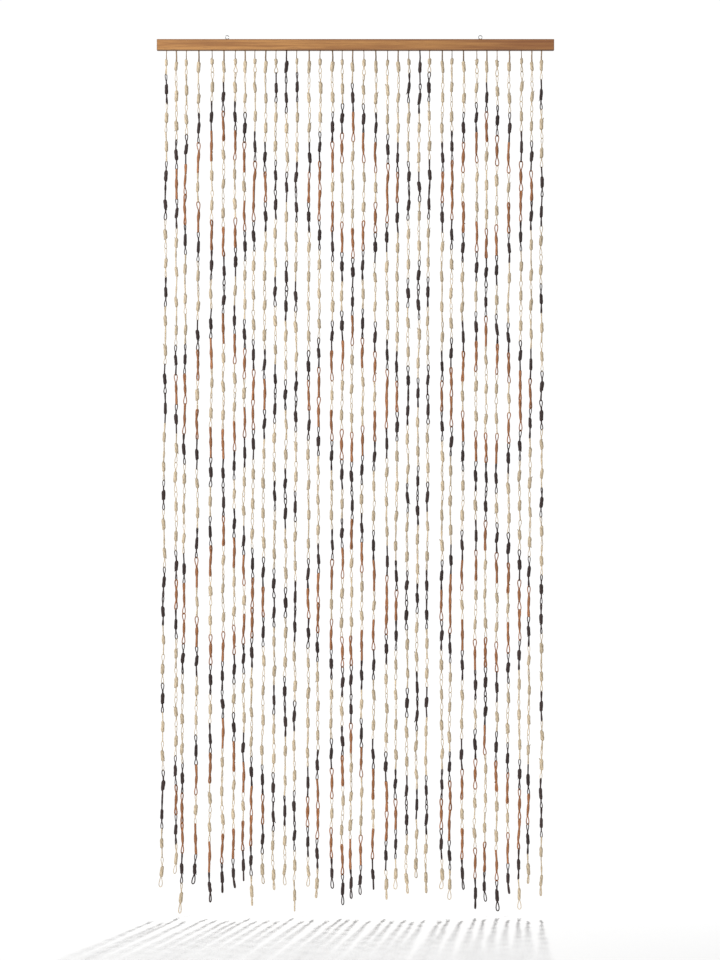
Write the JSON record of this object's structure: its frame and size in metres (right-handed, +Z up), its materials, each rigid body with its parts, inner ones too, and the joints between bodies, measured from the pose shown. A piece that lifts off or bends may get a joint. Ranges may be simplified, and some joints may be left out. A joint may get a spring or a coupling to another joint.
{
  "type": "string door curtain on its wooden rail",
  "caption": "String door curtain: chains of looped, twisted husk links in three tones that form diamonds, hung under a plain wooden rail with screw eyes.",
  "frame": {"origin": "midway between the centres of the two screw eyes on top of the rail", "axes": "+Z up, -Y towards the viewer in front, +X to that viewer's right along the rail"},
  "size_m": [0.9, 0.015, 1.9898],
  "materials": {
    "rail_wood": "planed, thin satin varnish",
    "eye_steel": "zinc-plated wire",
    "husk_cord": "dry twisted husk, plain, near-black and rust-brown links"
  },
  "bodies": {
    "root": {"rail": "rail_wood", "screw_eye_left": "eye_steel", "screw_eye_right": "eye_steel", "string_01": "husk_cord", "string_02": "husk_cord", "string_03": "husk_cord", "string_04": "husk_cord", "string_05": "husk_cord", "string_06": "husk_cord", "string_07": "husk_cord", "string_08": "husk_cord", "string_09": "husk_cord", "string_10": "husk_cord", "string_11": "husk_cord", "string_12": "husk_cord", "string_13": "husk_cord", "string_14": "husk_cord", "string_15": "husk_cord", "string_16": "husk_cord", "string_17": "husk_cord", "string_18": "husk_cord", "string_19": "husk_cord", "string_20": "husk_cord", "string_21": "husk_cord", "string_22": "husk_cord", "string_23": "husk_cord", "string_24": "husk_cord", "string_25": "husk_cord", "string_26": "husk_cord", "string_27": "husk_cord", "string_28": "husk_cord", "string_29": "husk_cord", "string_30": "husk_cord", "string_31": "husk_cord", "string_32": "husk_cord", "string_33": "husk_cord", "string_34": "husk_cord", "string_35": "husk_cord"}
  },
  "joints": []
}
